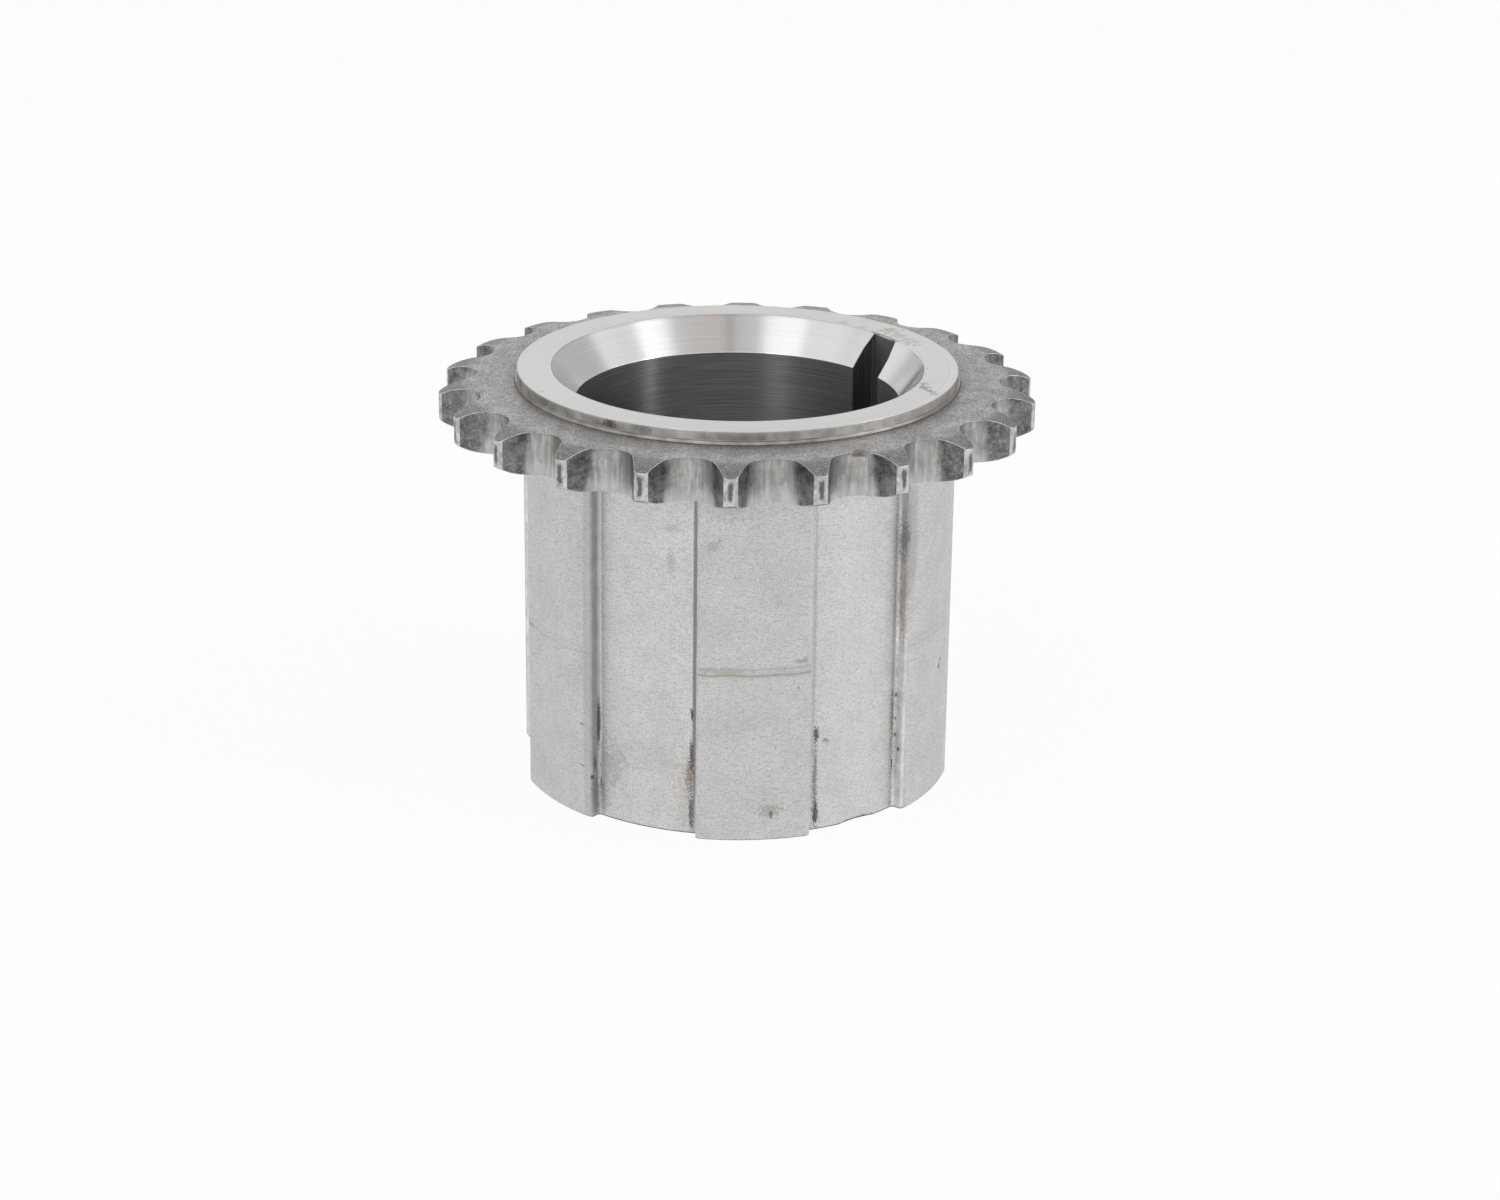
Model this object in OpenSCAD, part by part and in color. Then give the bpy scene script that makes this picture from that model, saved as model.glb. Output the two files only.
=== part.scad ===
// One-piece crankshaft timing sprocket for a single roller chain. Below the
// toothed disc a long barrel carries six wide drive lands; above it stands a
// low machined rim around a lead-in cone. A straight keyway runs through the
// bore. Units are millimetres. +Z points along the bore toward the rim, the
// barrel end stands on Z = 0 and the keyway points along +X.

/* [Overall] */
// Length along the bore, barrel end to rim face
total_len = 48.7; // [46:0.1:56]

/* [Chain teeth] */
// Number of teeth
teeth = 22; // [21:1:26]
// Chain pitch
chain_pitch = 9.525; // [9.4:0.005:9.7]
// Chain roller diameter
roller_d = 6.35; // [6.2:0.05:6.4]
// Radius of the roller seat between two teeth
seat_r = 3.3; // [3.2:0.05:3.4]
// Angle swept by the roller seat
seat_angle = 119; // [114:1:122]
// Tooth height above the pitch circle
tip_rise = 1.05; // [0.7:0.05:1.2]
// Width of the toothed disc at the roots
disc_w = 5; // [4:0.1:6]
// How far each side of a tooth falls back at the tip
side_drop = 0.95; // [0.5:0.05:1.2]
// Radius of the side rounding of the teeth
side_r = 6.4; // [5:0.1:7]
// Turn of the first tooth from the keyway
tooth_turn = 4.6; // [0:0.1:16]

/* [Rim] */
// Rim diameter
rim_d = 51; // [49:0.1:54]
// Rim height above the disc
rim_h = 1.5; // [1:0.1:3]
// Width of the small ledge at the foot of the rim
ledge_w = 0.25; // [0.1:0.05:0.5]
// Height of the small ledge at the foot of the rim
ledge_h = 0.4; // [0.2:0.05:0.6]

/* [Drive lands] */
// Number of lands
lands = 6; // [4:1:7]
// Diameter over the lands
land_d = 51.3; // [50.6:0.1:53]
// Depth of the grooves below the lands
groove_depth = 1.6; // [1.3:0.1:2]
// Angle covered by one land
land_angle = 30; // [24:0.5:32]
// Rounding of the land corners
land_corner_r = 0.6; // [0.3:0.05:0.7]
// Fillet at the foot of a land
land_foot_r = 0.4; // [0.2:0.05:0.5]
// Chamfer at the free end of the lands
end_chamfer = 0.25; // [0.1:0.05:0.5]

/* [Bore] */
// Bore diameter
bore_d = 37.5; // [35:0.1:38.5]
// Diameter of the lead-in cone at the rim face
lead_d = 43.2; // [41:0.1:45]
// Depth of the lead-in cone
lead_depth = 4; // [3:0.1:5]
// Chamfer at the lower end of the bore
bore_chamfer = 0.5; // [0.2:0.1:1]

/* [Keyway] */
// Keyway width
key_w = 4.8; // [4:0.1:6]
// Radial step between the keyway floor corners and the lead-in circle
key_inset = 0.02; // [0:0.01:0.1]

/* [Hidden] */
$fn = 96;
over = 1;

// Chain geometry
pitch_r = chain_pitch / 2 / sin(180 / teeth);
root_r = pitch_r - roller_d / 2;
tip_r = pitch_r + tip_rise;
tooth_step = 360 / teeth;
half_seat = seat_angle / 2;
seat_y = root_r + seat_r;
seat_touch_x = seat_r * sin(half_seat);
seat_touch_y = seat_y - seat_r * cos(half_seat);
flank_len = (tip_r + over - seat_touch_y) / sin(half_seat);
flank_end_x = seat_touch_x + flank_len * cos(half_seat);
flank_end_y = seat_touch_y + flank_len * sin(half_seat);

// Heights
face_z = total_len - rim_h;
disc_z = face_z - disc_w;
cone_z = total_len - lead_depth;

// Side rounding of the teeth: start radius from the drop at the tip
side_run = sqrt(2 * side_r * side_drop - side_drop * side_drop);
side_start = tip_r - side_run;

// Lands
land_r = land_d / 2;
groove_r = land_r - groove_depth;
land_step = 360 / lands;
half_land = land_angle / 2;
corner_c = land_r - land_corner_r;
corner_turn = half_land - asin(land_corner_r / corner_c);
corner_touch = sqrt(corner_c * corner_c - land_corner_r * land_corner_r);
foot_c = groove_r + land_foot_r;
foot_turn = half_land + asin(land_foot_r / foot_c);
foot_touch = sqrt(foot_c * foot_c - land_foot_r * land_foot_r);
foot_overlap = 0.5;
foot_floor = groove_r - foot_overlap;

// Bore and keyway
bore_r = bore_d / 2;
lead_r = lead_d / 2;
lead_slope = (lead_r - bore_r) / lead_depth;
key_x = sqrt(lead_r * lead_r - key_w * key_w / 4) - key_inset;

// Space between two teeth, pointing along +Y
module gap_2d() {
    translate([0, seat_y]) circle(r = seat_r);
    polygon([
        [-seat_touch_x, seat_touch_y],
        [seat_touch_x, seat_touch_y],
        [flank_end_x, flank_end_y],
        [-flank_end_x, flank_end_y]
    ]);
}

// Outline of the toothed disc
module disc_2d() {
    difference() {
        circle(r = tip_r, $fn = 180);
        for (i = [0 : teeth - 1])
            rotate(tooth_turn + (i + 0.5) * tooth_step - 90) gap_2d();
    }
}

// One rounded-off corner of the disc section
module side_relief_2d() {
    difference() {
        translate([side_start, side_r - side_drop]) square([side_run + over, side_drop + over]);
        translate([side_start, 0]) circle(r = side_r, $fn = 180);
    }
}

// Half section of the disc, tooth sides rounded back
module disc_section_2d() {
    difference() {
        translate([0, disc_z]) square([tip_r + over, disc_w]);
        translate([0, face_z - side_r]) side_relief_2d();
        translate([0, disc_z + side_r]) mirror([0, 1]) side_relief_2d();
    }
}

// Disc with its teeth
module toothed_disc() {
    intersection() {
        translate([0, 0, disc_z]) linear_extrude(height = disc_w) disc_2d();
        rotate_extrude($fn = 180) disc_section_2d();
    }
}

// Low rim with a small ledge at its foot
module rim() {
    translate([0, 0, face_z - over]) cylinder(h = rim_h + over, d = rim_d, $fn = 180);
    translate([0, 0, face_z - over]) cylinder(h = ledge_h + over, d = rim_d + 2 * ledge_w, $fn = 180);
}

// Sector pointing along +X, half angle given
module sector_2d(half) {
    reach = land_r + 4;
    polygon([
        [0, 0],
        [reach, -reach * tan(half)],
        [reach, reach * tan(half)]
    ]);
}

// Region cut away to round one corner of a land
module corner_cut_2d() {
    difference() {
        rotate(corner_turn) polygon([
            [corner_c, 0],
            [land_r + over, 0],
            [(land_r + over) * cos(half_land - corner_turn), (land_r + over) * sin(half_land - corner_turn)],
            [corner_touch * cos(half_land - corner_turn), corner_touch * sin(half_land - corner_turn)]
        ]);
        rotate(corner_turn) translate([corner_c, 0]) circle(r = land_corner_r);
    }
}

// Material left at the foot of a land, overlapping the land and the core
module foot_fill_2d() {
    difference() {
        rotate(half_land) polygon([
            [foot_touch, -foot_overlap],
            [foot_touch, land_foot_r],
            [foot_floor * cos(foot_turn - half_land), foot_floor * sin(foot_turn - half_land)],
            [foot_floor, -foot_overlap]
        ]);
        rotate(foot_turn) translate([foot_c, 0]) circle(r = land_foot_r);
    }
}

// Outline of the barrel with its lands
module barrel_2d() {
    circle(r = groove_r, $fn = 180);
    for (i = [0 : lands - 1]) rotate(i * land_step) {
        difference() {
            intersection() {
                circle(r = land_r, $fn = 180);
                sector_2d(half_land);
            }
            corner_cut_2d();
            mirror([0, 1]) corner_cut_2d();
        }
        foot_fill_2d();
        mirror([0, 1]) foot_fill_2d();
    }
}

// Barrel, its land ends chamfered
module barrel() {
    intersection() {
        linear_extrude(height = disc_z + over) barrel_2d();
        union() {
            cylinder(h = end_chamfer, r1 = land_r - end_chamfer, r2 = land_r, $fn = 180);
            translate([0, 0, end_chamfer]) cylinder(h = disc_z + over, r = land_r + over, $fn = 180);
        }
    }
}

// Everything cut away around the axis
module bore_space() {
    translate([0, 0, -over]) cylinder(h = total_len + 2 * over, d = bore_d, $fn = 180);
    translate([0, 0, cone_z])
        cylinder(h = lead_depth + over, r1 = bore_r, r2 = lead_r + over * lead_slope, $fn = 180);
    translate([0, 0, -over])
        cylinder(h = bore_chamfer + over, r1 = bore_r + bore_chamfer + over, r2 = bore_r, $fn = 180);
}

// Keyway along +X, full length
module keyway() {
    translate([0, -key_w / 2, -over]) cube([key_x, key_w, total_len + 2 * over]);
}

module crankshaft_gear() {
    color([0.62, 0.62, 0.61])
    difference() {
        union() {
            barrel();
            toothed_disc();
            rim();
        }
        bore_space();
        keyway();
    }
}

crankshaft_gear();
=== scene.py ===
import logging
import math
from contextlib import contextmanager
from dataclasses import dataclass, field
from enum import Enum
from typing import Callable, Iterator

import bmesh
import bpy
from mathutils import Matrix, Vector


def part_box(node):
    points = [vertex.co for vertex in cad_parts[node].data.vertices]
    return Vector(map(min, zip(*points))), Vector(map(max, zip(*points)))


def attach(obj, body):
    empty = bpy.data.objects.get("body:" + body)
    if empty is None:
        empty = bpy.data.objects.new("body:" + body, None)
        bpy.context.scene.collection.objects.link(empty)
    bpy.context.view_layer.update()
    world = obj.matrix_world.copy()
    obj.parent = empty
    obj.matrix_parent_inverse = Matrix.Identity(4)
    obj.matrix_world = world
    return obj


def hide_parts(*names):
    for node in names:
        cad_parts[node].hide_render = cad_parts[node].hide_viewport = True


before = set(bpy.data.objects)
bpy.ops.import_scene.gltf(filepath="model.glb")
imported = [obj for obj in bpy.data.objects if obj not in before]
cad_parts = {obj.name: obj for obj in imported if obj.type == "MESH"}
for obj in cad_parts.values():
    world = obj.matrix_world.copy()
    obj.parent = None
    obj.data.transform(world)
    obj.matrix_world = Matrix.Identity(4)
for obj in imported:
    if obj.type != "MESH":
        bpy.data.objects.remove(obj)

log = logging.getLogger("crankshaft_gear")

MM = 0.001
HAIR = 0.01 * MM
NODE = "crankshaft_gear"
TEETH = 22
FIRST_TOOTH = 4.6
TIP_RADIUS = 34.515 * MM
ORIGIN = (0.0, 0.0, 0.0)
AXIS = (0.0, 0.0, 1.0)
ODD_PLACE = (12.3 * MM, 7.7 * MM, 31.1 * MM)
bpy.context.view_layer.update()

Object = bpy.types.Object
Material = bpy.types.Material
Socket = bpy.types.NodeSocket
Outputs = bpy.types.bpy_prop_collection
Tree = bpy.types.ShaderNodeTree
Vert = bmesh.types.BMVert
Edge = bmesh.types.BMEdge
Face = bmesh.types.BMFace
Colour = tuple[float, float, float, float]
WHITE: Colour = (1.0, 1.0, 1.0, 1.0)
RUST: Colour = (0.12, 0.062, 0.036, 1.0)
GRIME: Colour = (0.075, 0.062, 0.052, 1.0)
TAN: Colour = (0.36, 0.27, 0.2, 1.0)
DUST: Colour = (0.3, 0.27, 0.24, 1.0)
PALE_TEA: Colour = (0.43, 0.37, 0.32, 1.0)
DEEP_TEA: Colour = (0.26, 0.2, 0.16, 1.0)
# Cool dark grey of the painted shade on the teeth's side relief.
RELIEF_SHADE: Colour = (0.25, 0.262, 0.27, 1.0)


# --------------------------------------------------------------------------
# Selecting and shaping
# --------------------------------------------------------------------------


class Kind(Enum):
    """The parts of a mesh, each with edit mode's name for it."""

    VERTS = "VERT"
    EDGES = "EDGE"
    FACES = "FACE"


def select_only(*objects: Object) -> None:
    """Select some objects in object mode and make the last one active."""
    if bpy.context.object and bpy.context.object.mode != "OBJECT":
        bpy.ops.object.mode_set(mode="OBJECT")
    bpy.ops.object.select_all(action="DESELECT")
    for obj in objects:
        obj.select_set(True)
        bpy.context.view_layer.objects.active = obj


def take_all() -> None:
    """Select the whole mesh in edit mode."""
    bpy.ops.mesh.select_all(action="SELECT")


@contextmanager
def editing(obj: Object, kind: Kind, whole: bool = False) -> Iterator[None]:
    """Edit one mesh, starting with nothing or everything selected.

    Args:
        obj: The object to edit.
        kind: The parts that are selected.
        whole: Whether everything is selected at the start.

    Yields:
        Once, in edit mode.
    """
    select_only(obj)
    bpy.ops.object.mode_set(mode="EDIT")
    bpy.ops.mesh.select_mode(type=kind.value)
    bpy.ops.mesh.select_all(action="SELECT" if whole else "DESELECT")
    yield
    bpy.ops.object.mode_set(mode="OBJECT")


def pick(obj: Object, kind: Kind, test: Callable[[object], bool]) -> int:
    """Select the parts that pass a test, in edit mode.

    Args:
        obj: The object in edit mode.
        kind: Which parts are looked at.
        test: Says whether a part is wanted.

    Returns:
        How many parts are selected.
    """
    bm = bmesh.from_edit_mesh(obj.data)
    bpy.ops.mesh.select_all(action="DESELECT")
    found = [part for part in getattr(bm, kind.name.lower()) if test(part)]
    for part in found:
        part.select_set(True)
    bmesh.update_edit_mesh(obj.data)
    return len(found)


def radius_of(point: Vector) -> float:
    """Distance of a point from the bore's axis."""
    return math.hypot(point.x, point.y)


def angle_of(point: Vector) -> float:
    """Angle of a point about the bore's axis in degrees, from the keyway."""
    return math.degrees(math.atan2(point.y, point.x))


def polar(radius: float, degrees: float, height: float = 0.0) -> Vector:
    """A point from its radius, its angle from the keyway and its height."""
    a = math.radians(degrees)
    return Vector((radius * math.cos(a), radius * math.sin(a), height))


def near(value: float, target: float, slack: float = 2e-5) -> bool:
    """Whether two lengths agree to a hair."""
    return abs(value - target) < slack


def middle_of(edge: Edge) -> Vector:
    """The middle of an edge."""
    return (edge.verts[0].co + edge.verts[1].co) / 2


def weld(threshold: float = 1e-6) -> None:
    """Merge the doubled points of the whole mesh in edit mode."""
    take_all()
    bpy.ops.mesh.remove_doubles(threshold=threshold)


def face_outwards() -> None:
    """Turn all faces of a closed mesh outwards in edit mode."""
    take_all()
    bpy.ops.mesh.normals_make_consistent(inside=False)


def extrude_by(step: Vector | tuple[float, float, float]) -> None:
    """Extrude what is selected and move it by one step."""
    bpy.ops.mesh.extrude_region_move(TRANSFORM_OT_translate={"value": step})


def widen(share: float) -> None:
    """Scale what is selected away from the bore's axis."""
    bpy.ops.transform.resize(value=(share, share, 1.0), center_override=ORIGIN)


def apply_place(obj: Object) -> None:
    """Put an object's place, turn and scale into its mesh."""
    select_only(obj)
    bpy.ops.object.transform_apply(location=True, rotation=True, scale=True)


def single_point() -> Object:
    """Make a mesh of one point at the origin."""
    bpy.ops.mesh.primitive_plane_add(size=MM)
    obj = bpy.context.object
    with editing(obj, Kind.VERTS, whole=True):
        bpy.ops.mesh.merge(type="CENTER")
    return obj


def join(part: Object, body: Object) -> None:
    """Make one mesh a part of another."""
    select_only(part, body)
    bpy.ops.object.join()


def settle_order(obj: Object) -> None:
    """Number a mesh's parts by distance from one odd place, so that no run differs."""
    cursor = bpy.context.scene.cursor
    with editing(obj, Kind.FACES, whole=True):
        cursor.location = ODD_PLACE
        bpy.ops.mesh.sort_elements(type="CURSOR_DISTANCE", elements={"VERT", "EDGE", "FACE"})
        cursor.location = ORIGIN


def cut(body: Object, tool: Object) -> None:
    """Cut one closed mesh out of another and remove the tool.

    Args:
        body: The mesh that loses material.
        tool: The closed mesh that takes it away.
    """
    select_only(body)
    modifier = body.modifiers.new("cut", "BOOLEAN")
    modifier.operation = "DIFFERENCE"
    modifier.solver = "EXACT"
    modifier.object = tool
    bpy.ops.object.modifier_apply(modifier=modifier.name)
    bpy.data.objects.remove(tool, do_unlink=True)
    settle_order(body)


# --------------------------------------------------------------------------
# Shader nodes and the effects that finishes share
# --------------------------------------------------------------------------


class NodeBoard:
    """A short way to place and wire nodes in one node tree."""

    COLUMN_WIDTH = 180
    ROW_HEIGHT = 160
    ROWS = 5

    def __init__(self, tree: bpy.types.NodeTree) -> None:
        """Start on an empty tree."""
        self.tree = tree
        self.tree.nodes.clear()
        self.count = 0

    def add(self, kind: str, inputs: dict | None = None, **values: object) -> bpy.types.Node:
        """Place a node, set its properties, and wire or fill its inputs.

        Args:
            kind: The node's Blender type name.
            inputs: What goes into its inputs: a socket, a number, a vector or a colour.
            values: Properties of the node to set.

        Returns:
            The new node.
        """
        node = self.tree.nodes.new(kind)
        self.count += 1
        row = self.count % self.ROWS
        node.location = (self.count * self.COLUMN_WIDTH, -row * self.ROW_HEIGHT)
        for key, value in values.items():
            setattr(node, key, value)
        for key, source in (inputs or {}).items():
            self.plug(source, node.inputs[key])
        return node

    def plug(self, source: object, target: Socket) -> None:
        """Wire an output, or write a plain value, into an input.

        Args:
            source: An output socket, a number, a vector or a colour; None changes nothing.
            target: The input socket.
        """
        if isinstance(source, Socket):
            self.tree.links.new(source, target)
        elif source is not None:
            target.default_value = source

    def math(self, operation: str, *inputs: object, clamp: bool = False) -> Socket:
        """The value of a Math node.

        Args:
            operation: Blender's name of the operation.
            inputs: Its two or three inputs.
            clamp: Whether the result stays between 0 and 1.

        Returns:
            The value output.
        """
        given = dict(enumerate(inputs))
        return self.add("ShaderNodeMath", given, operation=operation, use_clamp=clamp).outputs[0]

    def times(self, a: object, b: object) -> Socket:
        """The product of two numbers."""
        return self.math("MULTIPLY", a, b)

    def vector(self, operation: str, a: object, b: object = None) -> Socket:
        """The result of a Vector Math node.

        Args:
            operation: Blender's name of the operation.
            a: First vector.
            b: Second vector, or the scale of a SCALE.

        Returns:
            A number for LENGTH and DOT_PRODUCT, else a vector.
        """
        given = {0: a, "Scale" if operation == "SCALE" else 1: b}
        node = self.add("ShaderNodeVectorMath", given, operation=operation)
        return node.outputs["Value" if operation in ("LENGTH", "DOT_PRODUCT") else "Vector"]

    def apart(self, vector: object) -> Outputs:
        """The X, Y and Z of a vector."""
        return self.add("ShaderNodeSeparateXYZ", {0: vector}).outputs

    def together(self, x: object, y: object, z: object = 0.0) -> Socket:
        """A vector of three numbers."""
        return self.add("ShaderNodeCombineXYZ", {0: x, 1: y, 2: z}).outputs[0]

    def mix(self, factor: object, a: object, b: object) -> Socket:
        """The first colour with a share of the second."""
        given = {0: factor, 6: a, 7: b}
        return self.add("ShaderNodeMix", given, data_type="RGBA", clamp_factor=True).outputs[2]

    def remap(
        self, value: object, low: float, high: float, to_low: float = 0.0, to_high: float = 1.0
    ) -> Socket:
        """A clamped smooth Map Range.

        Args:
            value: The input value.
            low: Input that gives to_low.
            high: Input that gives to_high.
            to_low: Output at low.
            to_high: Output at high.

        Returns:
            The mapped value.
        """
        given = {"Value": value, "From Min": low, "From Max": high}
        given |= {"To Min": to_low, "To Max": to_high}
        node = self.add("ShaderNodeMapRange", given, interpolation_type="SMOOTHSTEP", clamp=True)
        return node.outputs["Result"]

    def between(self, value: object, start: float, full: float, last: float, end: float) -> Socket:
        """A band that rises from start to full and falls from last to end."""
        return self.times(self.remap(value, start, full), self.remap(value, end, last))

    def noise(self, vector: object, scale: object, octaves: float, rough: float) -> Socket:
        """The value of a Noise texture, from 0 to 1."""
        given = {"Vector": vector, "Scale": scale, "Detail": octaves, "Roughness": rough}
        return self.add("ShaderNodeTexNoise", given, noise_dimensions="3D").outputs["Fac"]

    def effect(self, group: Tree, **values: object) -> Outputs:
        """Place a node group with its own values.

        Args:
            group: The shader node group.
            values: Inputs by name, with _ for a space.

        Returns:
            The group's outputs.
        """
        given = {key.replace("_", " "): value for key, value in values.items()}
        return self.add("ShaderNodeGroup", given, node_tree=group).outputs

    def either(self, factor: object, a: bpy.types.Node, b: bpy.types.Node) -> bpy.types.Node:
        """A blend of two shaders."""
        return self.add("ShaderNodeMixShader", {0: factor, 1: a.outputs[0], 2: b.outputs[0]})


class EffectGroup(NodeBoard):
    """A shader node group with named inputs and outputs."""

    def __init__(self, name: str, **inputs: float | tuple[float, float, float]) -> None:
        """Start the group.

        Args:
            name: The group's name.
            inputs: Default value of each input, with _ for a space in its name.
        """
        super().__init__(bpy.data.node_groups.new(name, "ShaderNodeTree"))
        for key, default in inputs.items():
            socket = self._socket(key.replace("_", " "), "INPUT", isinstance(default, tuple))
            socket.default_value = default
        self.given = self.add("NodeGroupInput").outputs

    def _socket(self, name: str, way: str, vector: bool) -> bpy.types.NodeTreeInterfaceSocket:
        """Give the group's face one more socket."""
        kind = "NodeSocketVector" if vector else "NodeSocketFloat"
        return self.tree.interface.new_socket(name=name, in_out=way, socket_type=kind)

    def give(self, **outputs: Socket) -> Tree:
        """Give the group its outputs.

        Args:
            outputs: What each output carries.

        Returns:
            The finished node group.
        """
        for name, source in outputs.items():
            self._socket(name, "OUTPUT", source.type == "VECTOR")
        self.add("NodeGroupOutput", outputs)
        return self.tree


class Effects:
    """The surface effects that several finishes share, each built once."""

    def __init__(self) -> None:
        """Build every group."""
        self.place = self._place()
        self.grain = self._grain()
        self.turning = self._turning()
        self.draw = self._draw()
        self.spot = self._spot()

    def _place(self) -> Tree:
        """Position in millimetres, radius and turn about the bore."""
        group = EffectGroup("place_on_gear", Point=ORIGIN)
        position = group.vector("SCALE", group.given["Point"], 1.0 / MM)
        flat = group.vector("MULTIPLY", position, (1.0, 1.0, 0.0))
        return group.give(
            Position=position,
            Radius=group.vector("LENGTH", flat),
            Height=group.apart(position)["Z"],
            Around=group.vector("NORMALIZE", flat),
        )

    def _grain(self) -> Tree:
        """The pressed-powder skin: broad clouds, fine speckle and open pores."""
        group = EffectGroup(
            "sintered_grain", Position=ORIGIN, Grain_Size=0.35, Cloud_Size=4.0, Pores=0.5
        )
        position = group.given["Position"]
        fine = group.math("DIVIDE", 1.0, group.given["Grain Size"])
        broad = group.math("DIVIDE", 1.0, group.given["Cloud Size"])
        clouds = group.noise(position, broad, 4.0, 0.6)
        speckle = group.noise(position, fine, 2.5, 0.65)
        pore_noise = group.noise(position, group.times(fine, 0.75), 2.0, 0.5)
        gate = group.math("MULTIPLY_ADD", group.given["Pores"], -0.16, 0.43)
        open_pores = group.remap(group.math("SUBTRACT", pore_noise, gate), -0.075, -0.14)
        patches = group.math("MULTIPLY_ADD", group.remap(clouds, 0.42, 0.62), 0.75, 0.25)
        pores = group.math("MULTIPLY", open_pores, patches, clamp=True)
        return group.give(
            Clouds=group.remap(clouds, 0.3, 0.7),
            Speckle=group.remap(speckle, 0.25, 0.75),
            Pores=pores,
            Height=group.math("SUBTRACT", speckle, group.times(pores, 0.8)),
        )

    def _turning(self) -> Tree:
        """Fine rings that a cutting tool leaves, running round the bore."""
        group = EffectGroup(
            "turning_marks", Radius=0.0, Height=0.0, Around=(1.0, 0.0, 0.0), Pitch=0.1, Broken=1.0
        )
        given = group.given
        density = group.math("DIVIDE", 1.0, given["Pitch"])
        radius, height = (group.times(given[name], density) for name in ("Radius", "Height"))
        across = group.together(radius, height)
        where = group.vector("ADD", across, group.vector("SCALE", given["Around"], given["Broken"]))
        return group.give(
            Rings=group.remap(group.noise(where, 0.5, 2.0, 0.6), 0.3, 0.7),
            Bands=group.remap(group.noise(where, 0.09, 2.0, 0.6), 0.3, 0.7),
        )

    def _draw(self) -> Tree:
        """Streaks along the bore's axis, as pressing and rolling contact leave them."""
        group = EffectGroup("axial_streaks", Position=ORIGIN, Width=0.3, Length=6.0)
        across = group.math("DIVIDE", 1.0, group.given["Width"])
        along = group.math("DIVIDE", 1.0, group.given["Length"])
        squeeze = group.together(across, across, along)
        where = group.vector("MULTIPLY", group.given["Position"], squeeze)
        return group.give(
            Streaks=group.remap(group.noise(where, 1.0, 2.0, 0.6), 0.3, 0.7),
            Broad=group.remap(group.noise(where, 0.3, 2.0, 0.5), 0.3, 0.7),
        )

    def _spot(self) -> Tree:
        """A ragged mark round one place."""
        group = EffectGroup(
            "ragged_mark",
            Position=ORIGIN,
            Centre=ORIGIN,
            Reach=(1.0, 1.0, 1.0),
            Ragged=0.6,
            Noise=0.5,
        )
        given = group.given
        away = group.vector("SUBTRACT", given["Position"], given["Centre"])
        distance = group.vector("LENGTH", group.vector("DIVIDE", away, given["Reach"]))
        swing = group.math("SUBTRACT", given["Noise"], 0.5)
        push = group.times(swing, group.times(given["Ragged"], 4.0))
        return group.give(Mask=group.remap(group.math("ADD", distance, push), 1.1, 0.55))


# --------------------------------------------------------------------------
# Finishes
# --------------------------------------------------------------------------


def grey(level: float, warm: float = 0.0) -> Colour:
    """A linear grey with a little warmth.

    Args:
        level: Linear brightness.
        warm: Share by which red leads and blue falls behind.

    Returns:
        The colour with full alpha.
    """
    return (level * (1 + warm), level, level * (1 - warm), 1.0)


@dataclass(frozen=True)
class Mark:
    """One stain, pit, rub or patch of painted shade at a fixed place on the gear, in millimetres
    and degrees.
    """

    angle: float
    radius: float
    height: float
    wide: float
    tall: float
    colour: Colour
    strength: float = 0.8
    ragged: float = 0.6
    fine: bool = False


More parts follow.
